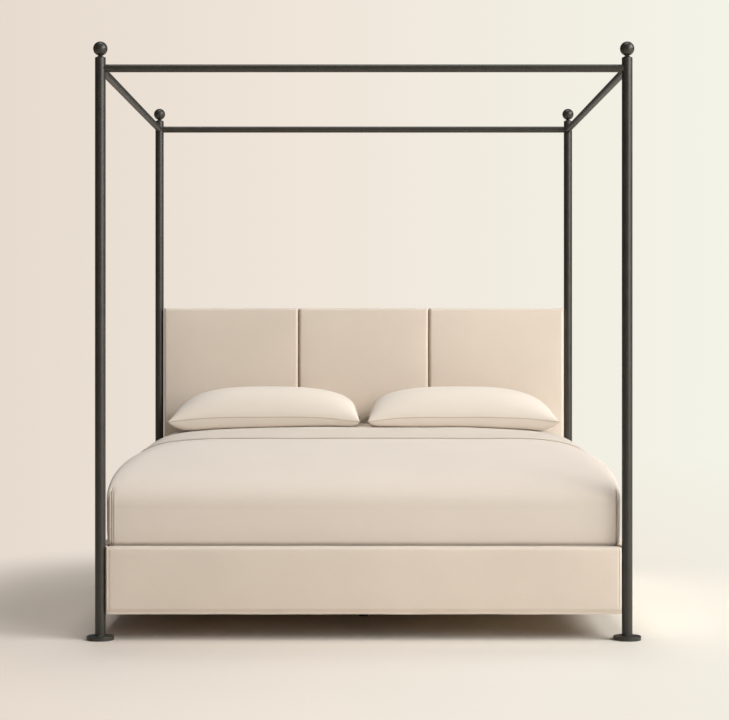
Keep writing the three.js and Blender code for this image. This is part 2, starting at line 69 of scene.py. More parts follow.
def make_camera():
    data = bpy.data.cameras.new("camera")
    data.lens = CAMERA_LENS
    data.sensor_width = 36
    data.shift_x, data.shift_y = CAMERA_SHIFT
    data.clip_start, data.clip_end = 0.1, 300
    camera = bpy.data.objects.new("camera", data)
    camera.location = (0, middle("post_front_left").y - CAMERA_DISTANCE, CAMERA_HEIGHT)
    camera.rotation_euler = (math.radians(90), 0, 0)
    SCENE.collection.objects.link(camera)
    SCENE.camera = camera


# ---- node trees
class Tree:
    """A node tree that is built a call at a time."""

    def __init__(self, owner):
        owner.use_nodes = True
        self.nodes, self.links = owner.node_tree.nodes, owner.node_tree.links
        self.nodes.clear()

    def add(self, kind, settings=None, **inputs):
        """Adds a node; an input named a, b... is by position, and any other by its socket's name."""
        node = self.nodes.new("ShaderNode" + kind)
        for key, value in (settings or {}).items():
            setattr(node, key, value)
        for key, value in inputs.items():
            socket = node.inputs["abcdef".index(key) if len(key) == 1 else key.replace("_", " ")]
            if isinstance(value, bpy.types.NodeSocket):
                self.links.new(value, socket)
            else:
                socket.default_value = value
        return node

    def value(self, operation, *inputs):
        named = dict(zip("abc", inputs))
        return self.add("Math", {"operation": operation}, **named).outputs[0]

    def vector(self, operation, *inputs, output="Vector"):
        named = dict(zip("abc", inputs))
        return self.add("VectorMath", {"operation": operation}, **named).outputs[output]

    def ramp(self, factor, *stops):
        """A colour ramp through (position, colour) stops."""
        node = self.add("ValToRGB", Fac=factor)
        elements = node.color_ramp.elements
        elements[0].position, elements[0].color = stops[0][0], (*stops[0][1], 1)
        elements[1].position, elements[1].color = stops[-1][0], (*stops[-1][1], 1)
        for position, colour in stops[1:-1]:
            elements.new(position).color = (*colour, 1)
        return node.outputs["Color"]

    def noise(self, vector, scale, detail=3.0, roughness=0.5):
        return self.add(
            "TexNoise", Vector=vector, Scale=scale, Detail=detail, Roughness=roughness
        ).outputs["Fac"]

    def bump(self, height, strength, distance, normal=None):
        more = {"Normal": normal} if normal else {}
        return self.add("Bump", Height=height, Strength=strength, Distance=distance, **more).outputs[0]

    def finish(self, surface):
        self.links.new(surface, self.add("OutputMaterial").inputs["Surface"])


def linear(*srgb):
    """A colour given as 0-255 sRGB, as linear light."""
    shares = [c / 255 for c in srgb]
    return tuple(c / 12.92 if c <= 0.04045 else ((c + 0.055) / 1.055) ** 2.4 for c in shares)


def shaded(colour, factor):
    return tuple(min(1.0, c * factor) for c in colour)


def new_material(name):
    material = bpy.data.materials.new(name)
    tree = Tree(material)
    place = tree.add("TexCoord").outputs["Object"]
    return material, tree, place


# ---- materials
def cloth(name, colour, pitch=0.0012, weave=0.3, variation=0.04, sheen=0.25, roughness=0.9, quilt=0.0):
    """Woven cloth: threads pitch apart, with a little slub, fading in tone, and optional quilting."""
    material, tree, place = new_material(name)
    turns = 2 * math.pi / pitch
    waves = tree.vector("SINE", tree.vector("MULTIPLY", place, (turns, turns, turns)))
    threads = tree.vector("DOT_PRODUCT", waves, (0.33, 0.33, 0.33), output="Value")
    slub = tree.noise(tree.vector("MULTIPLY", place, (60, 60, 900)), 1.0, 2.0)
    cloudy = tree.noise(place, 2.6, 4.0, 0.55)
    tone = tree.value("ADD", tree.value("MULTIPLY", cloudy, 0.7), tree.value("MULTIPLY", slub, 0.3))
    base = tree.ramp(tone, (0.3, shaded(colour, 1 - variation)), (0.7, shaded(colour, 1 + variation)))
    normal = tree.bump(tree.noise(place, 18.0, 3.0), 0.25, 0.0015)
    if quilt:
        tufts = 1.0
        for way in ((1, 1, 1), (1, -1, 1), (1, 1, -1)):  # so that they cross on the top and on every side
            steps = tuple(w * math.pi / quilt for w in way)
            along = tree.vector("DOT_PRODUCT", place, steps, output="Value")
            tufts = tree.value("MINIMUM", tree.value("ABSOLUTE", tree.value("SINE", along)), tufts)
        normal = tree.bump(tufts, 0.6, 0.006, normal)
    normal = tree.bump(threads, weave, pitch * 0.3, normal)
    shader = tree.add(
        "BsdfPrincipled",
        Base_Color=base,
        Roughness=roughness,
        Normal=normal,
        Sheen_Weight=sheen,
        Sheen_Roughness=0.45,
        Specular_IOR_Level=0.2,
    )
    tree.finish(shader.outputs[0])
    return material


def coated_steel(name, colour, roughness):
    """Powder-coated steel: a satin skin with a fine orange peel and slightly rubbed patches."""
    material, tree, place = new_material(name)
    mottled = tree.noise(place, 14.0, 5.0, 0.6)
    base = tree.ramp(mottled, (0.35, shaded(colour, 0.9)), (0.7, shaded(colour, 1.15)))
    rough = tree.value("MULTIPLY_ADD", mottled, 0.1, roughness - 0.05)
    peel = tree.bump(tree.noise(place, 420.0, 2.0), 0.02, 0.0004)
    shader = tree.add(
        "BsdfPrincipled", Base_Color=base, Roughness=rough, Normal=peel, Specular_IOR_Level=0.5
    )
    tree.finish(shader.outputs[0])
    return material


def plated_steel(name):
    """Bright zinc plate with its faint crystal spangle."""
    material, tree, place = new_material(name)
    cells = tree.add("TexVoronoi", Vector=place, Scale=140.0).outputs["Color"]
    spangle = tree.add("SeparateColor", Color=cells).outputs[0]
    base = tree.ramp(spangle, (0.0, (0.42, 0.43, 0.43)), (1.0, (0.6, 0.6, 0.58)))
    rough = tree.value("MULTIPLY_ADD", spangle, 0.14, 0.26)
    scratched = tree.bump(tree.noise(place, 900.0, 2.0), 0.06, 0.0004)
    shader = tree.add("BsdfPrincipled", Base_Color=base, Roughness=rough, Normal=scratched, Metallic=1.0)
    tree.finish(shader.outputs[0])
    return material


def moulded(name, colour, roughness):
    """Moulded plastic with a fine spark-eroded texture."""
    material, tree, place = new_material(name)
    speckle = tree.noise(place, 300.0, 2.0)
    base = tree.ramp(speckle, (0.3, shaded(colour, 0.8)), (0.7, shaded(colour, 1.2)))
    shader = tree.add(
        "BsdfPrincipled", Base_Color=base, Roughness=roughness, Normal=tree.bump(speckle, 0.15, 0.0005)
    )
    tree.finish(shader.outputs[0])
    return material


def wood(name, grain, light, dark, plies=0.0):
    """Planed wood with its grain along an axis; plies is the thickness of plywood's layers, if any."""
    material, tree, place = new_material(name)
    stretch = [38.0] * 3
    stretch[grain] = 2.2
    along = tree.vector("MULTIPLY", place, tuple(stretch))
    wander = tree.noise(along, 0.35, 2.0)
    figure = tree.noise(along, 1.4, 6.0, 0.62)
    rings = tree.value("SINE", tree.value("MULTIPLY", wander, 42.0))
    tone = tree.value("ADD", tree.value("MULTIPLY", figure, 0.75), tree.value("MULTIPLY", rings, 0.07))
    base = tree.ramp(tone, (0.25, dark), (0.5, light), (0.7, shaded(light, 1.08)))
    if plies:
        layers = tree.vector("SINE", tree.vector("MULTIPLY", place, (2 * math.pi / plies,) * 3))
        flat = tree.vector("DOT_PRODUCT", layers, (0.5, 0.5, 0.0), output="Value")
        glue = tree.add("MapRange", a=flat, b=-0.2, c=0.2, d=0.78, e=1.0).outputs[0]
        base = tree.add("VectorMath", {"operation": "SCALE"}, a=base, Scale=glue).outputs[0]
    pores = tree.bump(figure, 0.2, 0.0006)
    shader = tree.add(
        "BsdfPrincipled", Base_Color=base, Roughness=0.62, Normal=pores, Specular_IOR_Level=0.3
    )
    tree.finish(shader.outputs[0])
    return material


UPHOLSTERY = cloth("upholstery_weave", (0.769, 0.667, 0.561), 0.0016, 0.45, sheen=0.2)
COVERLET = cloth("coverlet_sateen", (0.769, 0.677, 0.586), 0.0007, 0.2, variation=0.015, sheen=0.15)
# The sheet is darker than the coverlet: partly painted shade from the pillows lying over the band.
SHEET_WITH_PAINTED_SHADE = cloth("sheet_percale_painted_shade", (0.69, 0.61, 0.52), 0.0006, 0.2, variation=0.015, sheen=0.12)
PILLOWCASE = cloth("pillowcase_sateen", (0.80, 0.712, 0.612), 0.0006, 0.2, variation=0.02, sheen=0.2)
TICKING = cloth("mattress_ticking", linear(240, 234, 224), 0.0014, 0.35, quilt=0.09)
TAPE = cloth("mattress_edge_tape", linear(205, 190, 170), 0.0018, 0.6)
DUST_CLOTH = cloth("dust_cloth", linear(172, 160, 144), 0.0011, 0.5, variation=0.06, sheen=0.05)
# The pillows' seam cord, darker than their case: partly its own piping, partly painted shade for the crease
# along the seam.
SHADED_SEAM_CORD = cloth("seam_cord_painted_crease_shade", linear(206, 192, 172), 0.0008, 0.6)
STEEL = coated_steel("bronze_black_coat", (0.037, 0.0322, 0.0248), 0.36)
ZINC = plated_steel("zinc_plate")
PLASTIC = moulded("black_nylon", (0.018, 0.018, 0.018), 0.5)
PLY_COLOURS = ((0.62, 0.44, 0.26), (0.44, 0.28, 0.14))
PLY_ALONG_X = wood("plywood_across", 0, *PLY_COLOURS, plies=0.0045)
PLY_ALONG_Y = wood("plywood_along", 1, *PLY_COLOURS, plies=0.0045)
SLAT_WOOD = wood("pine_across", 0, (0.74, 0.56, 0.34), (0.52, 0.33, 0.16))
LEDGER_WOOD = wood("pine_along", 1, (0.72, 0.53, 0.31), (0.5, 0.31, 0.15))


# ---- making pieces
def new_object(name, verts, faces, material):
    mesh = bpy.data.meshes.new(name)
    mesh.from_pydata([tuple(map(float, v)) for v in verts], [], faces)
    tidy = bmesh.new()
    tidy.from_mesh(mesh)
    bmesh.ops.recalc_face_normals(tidy, faces=tidy.faces)
    tidy.to_mesh(mesh)
    tidy.free()
    mesh.shade_smooth()
    obj = bpy.data.objects.new(name, mesh)
    SCENE.collection.objects.link(obj)
    mesh.materials.append(material)
    return obj


def piece(name, shape, material, body="bed_frame", stands_for=()):
    """A new piece from (vertices, faces) that rides on a body, standing for any CAD nodes it replaces."""
    obj = new_object(name, *shape, material)
    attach(obj, body)
    if stands_for:
        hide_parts(*stands_for)
    return obj


def crisp(obj):
    """Keeps large faces looking flat beside their rounded edges."""
    modifier = obj.modifiers.new("normals", "WEIGHTED_NORMAL")
    modifier.weight = 90
    return obj


def subdivided(obj, levels):
    modifier = obj.modifiers.new("subdivision", "SUBSURF")
    modifier.levels = modifier.render_levels = levels
    return obj


def joined(*shapes):
    """Several (vertices, faces) as one."""
    verts, faces = [], []
    for more_verts, more_faces in shapes:
        start = len(verts)
        verts += [Vector(v) for v in more_verts]
        faces += [[i + start for i in face] for face in more_faces]
    return verts, faces


def fillet(points, closed=False, steps=5):
    """An outline of (x, y, radius) corners with each corner rounded to its radius."""
    outline = []
    count = len(points)
    for i, (x, y, radius) in enumerate(points):
        here = Vector((x, y))
        if radius == 0 or (not closed and i in (0, count - 1)):
            outline.append(here)
            continue
        before = Vector(points[i - 1][:2]) - here
        after = Vector(points[(i + 1) % count][:2]) - here
        half = before.angle(after) / 2
        reach = min(radius / math.tan(half), 0.49 * before.length, 0.49 * after.length)
        centre = here + (before.normalized() + after.normalized()).normalized() * (reach / math.cos(half))
        start, end = here + before.normalized() * reach, here + after.normalized() * reach
        for step in range(steps + 1):
            spoke = start.lerp(end, step / steps) - centre
            outline.append(centre + spoke.normalized() * (reach * math.tan(half)))
    return outline


def lathe(profile, steps=72):
    """A solid of revolution about Z from a profile of (radius, z) that starts and ends on the axis."""
    verts = [Vector((0, 0, profile[0][1]))]
    for radius, z in profile[1:-1]:
        for k in range(steps):
            turn = 2 * math.pi * k / steps
            verts.append(Vector((radius * math.cos(turn), radius * math.sin(turn), z)))
    verts.append(Vector((0, 0, profile[-1][1])))
    last, rings = len(verts) - 1, len(profile) - 2
    faces = []
    for k in range(steps):
        after = (k + 1) % steps
        faces.append([0, 1 + after, 1 + k])
        for ring in range(rings - 1):
            low, high = 1 + ring * steps, 1 + (ring + 1) * steps
            faces.append([low + k, low + after, high + after, high + k])
        faces.append([1 + (rings - 1) * steps + k, 1 + (rings - 1) * steps + after, last])
    return verts, faces


def loft(sections, cap=True):
    """A skin over closed sections of equally many points, with flat caps on both ends."""
    count = len(sections[0])
    verts = [Vector(p) for section in sections for p in section]
    faces = []
    for row in range(len(sections) - 1):
        low, high = row * count, (row + 1) * count
        faces += ring_walls(list(range(low, high)), list(range(high, high + count)))
    if cap:
        faces.append(list(range(count))[::-1])
        faces.append(list(range(len(verts) - count, len(verts))))
    return verts, faces


def cord_along(path, radius, sides=8, closed=False, flatten=1.0):
    """A thin round tube along a path of points."""
    points = [Vector(p) for p in path]
    count = len(points)
    sections = []
    for i, point in enumerate(points):
        before = points[i - 1] if (closed or i) else point
        after = points[(i + 1) % count] if (closed or i < count - 1) else point
        along = (after - before).normalized()
        across = along.cross(Vector((0, 0, 1)))
        if across.length < 1e-3:
            across = along.cross(Vector((0, 1, 0)))
        across.normalize()
        over = across.cross(along).normalized()
        sections.append([
            point + radius * (math.cos(turn) * across + flatten * math.sin(turn) * over)
            for turn in (2 * math.pi * k / sides for k in range(sides))
        ])
    if closed:
        sections.append(sections[0])
    return loft(sections, cap=not closed)


def placed(shape, move=(0, 0, 0), turn=None):
    """Vertices turned by a matrix, then moved."""
    verts, faces = shape
    return [(turn @ v if turn else v) + Vector(move) for v in verts], faces


def spaced(low, high, step):
    """Evenly spread numbers from low to high, about step apart."""
    return np.linspace(low, high, max(2, int(round((high - low) / step)) + 1))


def path_length(points):
    return sum((b - a).length for a, b in zip(points, points[1:]))


def grid_faces(columns, rows):
    """Faces over a grid of points that are numbered a row at a time."""
    return [[j * columns + i, j * columns + i + 1, (j + 1) * columns + i + 1, (j + 1) * columns + i]
            for j in range(rows - 1) for i in range(columns - 1)]


def grid_rim(columns, rows):
    """The numbers of a grid's outer points, in order round it."""
    first = list(range(columns))
    right = [j * columns + columns - 1 for j in range(1, rows)]
    last = [(rows - 1) * columns + i for i in range(columns - 2, -1, -1)]
    left = [j * columns for j in range(rows - 2, 0, -1)]
    return first + right + last + left


def ring_walls(ring, other):
    """Faces between two closed rings of point numbers."""
    return [[a, b, d, c] for a, b, c, d in zip(ring, ring[1:] + ring[:1], other, other[1:] + other[:1])]


def slab(upper, lower, columns, rows):
    """A closed sheet between two grids of points."""
    size = columns * rows
    over, rim = grid_faces(columns, rows), grid_rim(columns, rows)
    under = [[size + i for i in face[::-1]] for face in over]
    return upper + lower, over + under + ring_walls(rim, [size + i for i in rim])


def clamped(share):
    return max(0.0, min(1.0, share))


def smooth_step(share):
    """0 below 0, 1 above 1, and an even curve between."""
    share = clamped(share)
    return share * share * (3 - 2 * share)


def wrinkle(point, size, depth, seed=0.0):
    """Smooth noise about size across and up to depth high."""
    return depth * noise.noise(Vector(point) / size + Vector((seed, seed * 1.7, seed * 0.6)))


# ---- posts, finials, flanges and canopy rails
POST_RADIUS = 0.020
CANOPY_RADIUS = 0.0148
BALL_RADIUS = 0.027
NECK_BASE, NECK_WAIST = 0.0168, 0.0078  # the finial neck's radii, on the post and under the ball
FLANGE_RADIUS, FLANGE_HEIGHT = 0.052, 0.0148
WELD = 0.0035  # the fillet between a flange and its post
PLUG = 0.004  # how far a finial's neck and a flange's collar overlap the post


def turned_piece(name, profile, at, node, steps=72):
    """A piece of black steel turned about an upright axis, in place of a CAD node."""
    return crisp(piece(name, placed(lathe(profile, steps), at), STEEL, stands_for=[node]))


def finial_profile(post_top, top):
    """The neck, flared down to the post's top, and the ball."""
    neck = fillet([
        (0, post_top - PLUG, 0), (NECK_BASE, post_top - PLUG, 0), (NECK_BASE, post_top + 0.0010, 0.0008),
        (0.0112, post_top + 0.0036, 0.004), (0.0080, post_top + 0.0062, 0.002),
        (NECK_WAIST, post_top + 0.0075, 0),
    ])
    centre = top - BALL_RADIUS
    waist = -math.acos(NECK_WAIST / BALL_RADIUS)
    ball = [Vector((BALL_RADIUS * math.cos(a), centre + BALL_RADIUS * math.sin(a)))
            for a in np.linspace(waist, math.pi / 2, 36)]
    ball[-1].x = 0
    return neck + ball


def flange_profile(floor):
    """A disc with an eased rim and a small collar against the post."""
    top = floor + FLANGE_HEIGHT
    return fillet([
        (0, floor, 0), (FLANGE_RADIUS, floor, 0.0012), (FLANGE_RADIUS, top, 0.0022),
        (POST_RADIUS + WELD, top, 0.0015), (POST_RADIUS, top + WELD, 0.001),
        (POST_RADIUS - 0.002, top + PLUG, 0), (0, top + PLUG, 0),
    ], steps=6)


def make_posts():
    for corner in CORNERS:
        post, finial, flange = f"post_{corner}", f"finial_{corner}", f"foot_flange_{corner}"
        at = (middle(post).x, middle(post).y, 0)
        bottom, top = (end.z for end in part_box(post))
        ends = [(POST_RADIUS, bottom, 0.0005), (POST_RADIUS, top, 0.0016)]
        tube = fillet([(0, bottom, 0), *ends, (0, top, 0)])
        turned_piece(f"post_tube_{corner}", tube, at, post)
        turned_piece(f"finial_ball_{corner}", finial_profile(top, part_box(finial)[1].z), at, finial)
        turned_piece(f"floor_flange_{corner}", flange_profile(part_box(flange)[0].z), at, flange, steps=96)


def make_canopy():
    for side in ("front", "rear", "left", "right"):
        node = f"canopy_rail_{side}"
        low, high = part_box(node)
        axis = 0 if side in ("front", "rear") else 1
        length = (high - low)[axis]
        profile = fillet([(0, 0, 0), (CANOPY_RADIUS, 0, 0), (CANOPY_RADIUS, length, 0), (0, length, 0)])
        along = Vector((1, 0, 0)) if axis == 0 else Vector((0, 1, 0))
        turn = Vector((0, 0, 1)).rotation_difference(along).to_matrix()
        start = middle(node)
        start[axis] = low[axis]
        crisp(piece(f"canopy_tube_{side}", placed(lathe(profile), start, turn), STEEL,
                    stands_for=[node]))


# ---- CAD nodes that stay
FINISHES = (  # what a node's name starts with, its material, and how far its edges are eased
    (("slat_ledger",), LEDGER_WOOD, 0.002),
    (("slat",), SLAT_WOOD, 0.0025),
    (("side_rail_core",), PLY_ALONG_Y, 0.0008),
    (("foot_rail_core", "headboard_core"), PLY_ALONG_X, 0.0008),
    (("corner_b", "hook_bracket"), ZINC, 0.0005),
    (("headboard_bolt", "finial_set_screw"), STEEL, 0.0005),
    (("centre_beam", "centre_leg"), STEEL, 0.0008),
    (("levelling_glide",), PLASTIC, 0.0008),
)


def dress(node, material, ease):
    """Gives a CAD node its material and eases its edges."""
    obj = NODES[node]
    obj.data.materials.clear()
    obj.data.materials.append(material)
    obj.modifiers.new("weld", "WELD").merge_threshold = 1e-5
    bevel = obj.modifiers.new("ease", "BEVEL")
    bevel.width, bevel.segments, bevel.limit_method = ease, 3, "ANGLE"
    bevel.angle_limit = math.radians(35)
    bevel.harden_normals = False
    obj.modifiers.new("normals", "WEIGHTED_NORMAL")


def dress_nodes():
    for node in NODES:
        finish = next((rest for starts, *rest in FINISHES if node.startswith(starts)), None)
        if finish:
            dress(node, *finish)


# ---- upholstered rails
RAIL_PUFF = 0.003
END_EASE = 0.009
LIP_HEIGHT = 0.0045  # the hem under the rail's face
END_SEAM = 0.0115  # from the rail's end
SEAM_DEPTH = SEAM_WIDTH = 0.0016
RETURN_DEPTH = 0.04
PAD_START = 0.006  # the padding lies outside this line, from the rail's middle
SKIN = 0.004  # of the cover over the core's top and bottom
STAPLE_PITCH = 0.045
STAPLE_MARGIN = 0.03  # from the rail's ends
STAPLE_INSET = 0.009  # from the returns' edges
BOX_FACES = [[3, 2, 1, 0], [4, 5, 6, 7], [0, 1, 5, 4], [1, 2, 6, 5], [2, 3, 7, 6], [3, 0, 4, 7]]


def densified(outline, step):
    """A closed outline with points added so that none are further than step apart."""
    dense = []
    for i, point in enumerate(outline):
        after = outline[(i + 1) % len(outline)]
        parts = max(1, math.ceil((after - point).length / step))
        dense += [point.lerp(after, k / parts) for k in range(parts)]
    return dense


def rail_section(width, height):
    """The cover's section: X outwards, Y up, wrapped round a core that shows on its inner face."""
    half = width / 2
    core_inner, core_outer, pad = half - 0.0027, 0.0057, 0.0078
    return densified(fillet([
        (-half, 0, 0.003), (half - 0.004, 0, 0.0016), (half - 0.004, LIP_HEIGHT, 0.0016),
        (half - 0.0065, LIP_HEIGHT + 0.0015, 0.0006), (half, LIP_HEIGHT + 0.016, 0.012),
        (half, height, 0.013), (-half, height, 0.003),
        (-half, height - RETURN_DEPTH, 0.001), (-core_inner, height - RETURN_DEPTH, 0.0),
        (-core_inner, height - pad, 0.0), (core_outer, height - pad, 0.0),
        (core_outer, pad, 0.0), (-core_inner, pad, 0.0),
        (-core_inner, RETURN_DEPTH, 0.0), (-half, RETURN_DEPTH, 0.001),
    ], closed=True), 0.014)


def rail_point(point, z, size, seed):
    """A point of the cover: its face filled out, its ends eased and sewn, and all of it faintly rippled."""
    length, width, height = size
    x, y = point
    if x > PAD_START or y < SKIN or y > height - SKIN:
        from_end = min(z, length - z)
        inset = END_EASE - math.sqrt(max(0, END_EASE**2 - max(0, END_EASE - from_end) ** 2))
        rise = (1 - (2 * y / height - 1) ** 4) * (1 - (2 * z / length - 1) ** 24)
        on_face = clamped((x - PAD_START) / (width / 2 - PAD_START))
        ripple = wrinkle((z, y * 0.5, 0), 0.16, 0.0011, seed) + wrinkle((z, y, 0), 0.05, 0.0003, seed)
        seam = SEAM_DEPTH * math.exp(-(((from_end - END_SEAM) / SEAM_WIDTH) ** 2))
        x += on_face * (RAIL_PUFF * rise + ripple - inset - seam)
        y += inset * 0.5 * (1 if y < height / 2 else -1) * abs(2 * y / height - 1) ** 6
        y += wrinkle((z, 0, y), 0.12, 0.0008, seed + 3) * abs(2 * y / height - 1) ** 6
    return Vector((x, y, z - length / 2))


def rail_cover(size, seed):
    """The padded cover along Z, with stations close together at its softly rounded ends."""
    length, width, height = size
    ends = [0.0, 0.0008, 0.0022, 0.0045, 0.0075] + [END_SEAM + 0.0013 * k for k in range(-2, 3)]
    stations = ends + list(spaced(0.02, length - 0.02, 0.018)) + [length - e for e in reversed(ends)]
    section = rail_section(width, height)
    return loft([[rail_point(point, z, size, seed) for point in section] for z in stations])


def staple_row(count, start, end, normal, along, width=0.011, wire=0.0008):
    """Staples driven flat into a face: short bars in a line, each a little askew."""
    bars = []
    normal, along = Vector(normal), Vector(along)
    across = normal.cross(along)
    for k in range(count):
        at = Vector(start).lerp(Vector(end), (k + 0.5) / count)
        tilt = 0.16 * noise.noise(Vector((k * 3.1, 0.4, 2.2)))
        direction = (along + across * tilt).normalized()
        side = normal.cross(direction)
        corners = [
            at + direction * (a * width / 2) + side * (b * wire / 2) + normal * (c * wire)
            for c in (0, 1) for a, b in ((-1, -1), (1, -1), (1, 1), (-1, 1))
        ]
        bars.append((corners, BOX_FACES))
    return joined(*bars)


def make_rail(node, name, outward, seed):
    low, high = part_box(node)
    extent = high - low
    across = 0 if outward.x else 1
    length, width, height = extent[1 - across], extent[across], extent.z
    up = Vector((0, 0, 1))
    turn = Matrix((outward, up, outward.cross(up))).transposed()
    base = middle(node)
    base.z = low.z
    skin = placed(rail_cover((length, width, height), seed), base, turn)
    piece(name, skin, UPHOLSTERY, stands_for=[node])
    rows = []
    for y in (RETURN_DEPTH - STAPLE_INSET, height - RETURN_DEPTH + STAPLE_INSET):
        start, end = ((-width / 2, y, sz * (length / 2 - STAPLE_MARGIN)) for sz in (-1, 1))
        rows.append(staple_row(int(length / STAPLE_PITCH), start, end, (-1, 0, 0), up))
    piece(f"{name}_staples", placed(joined(*rows), base, turn), ZINC)


def make_rails():
    make_rail("foot_rail_cover", "foot_rail_upholstery", Vector((0, -1, 0)), 1.3)
    for side, sx in SIDES:
        make_rail(f"side_rail_cover_{side}", f"side_rail_upholstery_{side}", Vector((sx, 0, 0)), 4.1 + sx)


# ---- headboard
PANEL_CROWN = 0.006
PANEL_EDGE = 0.013
PANEL_BASE = 0.003  # the flat strip round a pad's sides, in front of the core
BORDER_THICKNESS = 0.0013
BORDER_GAP = 0.0006  # between the border strip and the core's edges
STAPLE_EDGE = 0.012  # from the dust cloth's edges to its staples


def eased_steps(half, edge, step):
    """Positions from -half to half, closer together near the rounded edges."""
    near = [half - edge * (1 - math.cos(t)) for t in np.linspace(0, math.pi / 2, 8)]
    inner = list(spaced(-(half - edge), half - edge, step))
    return [-x for x in near[:-1]] + inner + near[:-1][::-1]


def padded_face(x, z, half_width, half_height):
    """How far a panel's face stands out, from 0 at its rim to 1 on its flat."""
    def roll(distance):
        inset = max(0.0, 1 - distance / PANEL_EDGE)
        return math.sqrt(max(0.0, 1 - inset**2.4))

    return roll(half_width - abs(x)) * roll(half_height - abs(z))


def headboard_panel(low, high, seed):
    """An upholstered pad: a crowned front with rounded edges on a flat back."""
    half_width, half_height = (high.x - low.x) / 2, (high.z - low.z) / 2
    centre = (low + high) / 2
    depth = high.y - low.y - PANEL_BASE
    xs, zs = eased_steps(half_width, PANEL_EDGE, 0.016), eased_steps(half_height, PANEL_EDGE, 0.018)
    verts = []
    for z in zs:
        for x in xs:
            crown = PANEL_CROWN * (1 - (x / half_width) ** 4) * (1 - (z / half_height) ** 6)
            ripple = wrinkle((x, z, 0), 0.21, 0.0012, seed) + wrinkle((x, z, 0), 0.07, 0.0003, seed + 2)
            out = depth * padded_face(x, z, half_width, half_height) + crown + ripple * 0.8
            verts.append(Vector((centre.x + x, high.y - PANEL_BASE - max(0.0, out), centre.z + z)))
    rim = grid_rim(len(xs), len(zs))
    back = list(range(len(verts), len(verts) + len(rim)))
    verts += [Vector((verts[i].x, high.y, verts[i].z)) for i in rim]
    return verts, grid_faces(len(xs), len(zs)) + ring_walls(rim, back) + [back[::-1]]


def back_cover(low, high):
    """The dust cloth over the headboard's back, pulled in a little between its staples."""
    xs, zs = spaced(low.x, high.x, 0.02), spaced(low.z, high.z, 0.02)
    outer = []
    for z in zs:
        for x in xs:
            rim = min(x - low.x, high.x - x, z - low.z, high.z - z)
            sag = 0.0012 * math.exp(-rim / 0.05) * abs(math.sin((x + z) * math.pi / 0.06))
            sink = max(0.0, wrinkle((x, z, 0), 0.18, 0.0008, 5.5))
            outer.append(Vector((x, high.y - sag - sink, z)))
    inner = [Vector((p.x, low.y, p.z)) for p in outer]
    return slab(outer, inner, len(xs), len(zs))


def border_band(low, high):
    """A strip of cloth wrapped over a board's sides and top. Returns the strip and its length."""
    lines = []
    for gap in (BORDER_GAP, BORDER_GAP + BORDER_THICKNESS):
        half, top = high.x + gap, high.z + gap
        ease = 0.003 + gap
        lines.append(fillet([(-half, low.z, 0), (-half, top, ease), (half, top, ease), (half, low.z, 0)]))
    inner, outer = lines
    turn = BORDER_THICKNESS / 2
    front, back = low.y + 0.0002, high.y + 0.0001
    sections = []
    for near, far in zip(inner, outer):
        between = near.lerp(far, 0.6)
        forward = [(near, front), (between, front), (far, front + turn)]
        rearward = [(far, back - turn), (between, back), (near, back)]
        sections.append([(p.x, y, p.y) for p, y in forward + rearward])
    return loft(sections), path_length(outer)


def make_headboard_pads():
    for seed, side in enumerate(("left", "centre", "right")):
        node = f"headboard_panel_{side}"
        shape = headboard_panel(*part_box(node), seed * 2.7)
        pad = piece(f"headboard_pad_{side}", shape, UPHOLSTERY, stands_for=[node])


def make_dust_cloth():
    low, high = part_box("headboard_back_cover")
    cloth_back = piece("headboard_dust_cloth", back_cover(low, high), DUST_CLOTH,
                       stands_for=["headboard_back_cover"])


def make_headboard_border():
    low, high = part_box("headboard_core")
    band, around = border_band(low, high)
    border = crisp(piece("headboard_border", band, UPHOLSTERY))


def make_headboard_staples():
    """The staples round the dust cloth's edges."""
    low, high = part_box("headboard_back_cover")
    left, right = low.x + STAPLE_EDGE, high.x - STAPLE_EDGE
    bottom, top = low.z + STAPLE_EDGE, high.z - STAPLE_EDGE
    back = high.y
    rows = [staple_row(40, (left, back, z), (right, back, z), (0, 1, 0), (1, 0, 0)) for z in (bottom, top)]
    rows += [staple_row(25, (x, back, bottom), (x, back, top), (0, 1, 0), (0, 0, 1)) for x in (left, right)]
    piece("headboard_staples", joined(*rows), ZINC)


# ---- the made bed's surface
COVER = {"half": 0.972, "foot": -1.033, "head": 1.003, "hem": 0.300, "shoulder": 0.500, "crown": 0.708}
TUCKED_HALF = 0.959
TAPER_HEIGHT, TUCK_HEIGHT = 0.075, 0.012  # above the rail: where a drop draws in, and where it turns under
RAIL_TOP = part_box("foot_rail_cover")[1].z
PLAN_CORNER = 0.022
CREST_Y, HEAD_Y = 0.2, 0.93  # the bed rounds down from the first to its foot, and past the second
FOLD_Y = -0.055  # the turned-down sheet's front edge
DOME = 0.013  # how much the bed rises from the fold to the pillows
DOME_LENGTH = 0.6
FOOT_ROUNDNESS, HEAD_DROP = 0.37, 0.12
SIDE_ROUNDNESS, HEAD_SQUARENESS = 0.19, 0.04  # the sides' shoulders are squarer towards the head
WRINKLE_FADE = 0.15  # the distance from the bed's edge over which its wrinkles come in
DROP_SHARES = (0.03, 0.08, 0.16, 0.26, 0.38, 0.5, 0.62, 0.74)  # rows of points down to 20 mm above the rail
RAIL_ROWS = (0.012, 0.006, 0.0, -0.012, -0.03)  # and the rows beside it


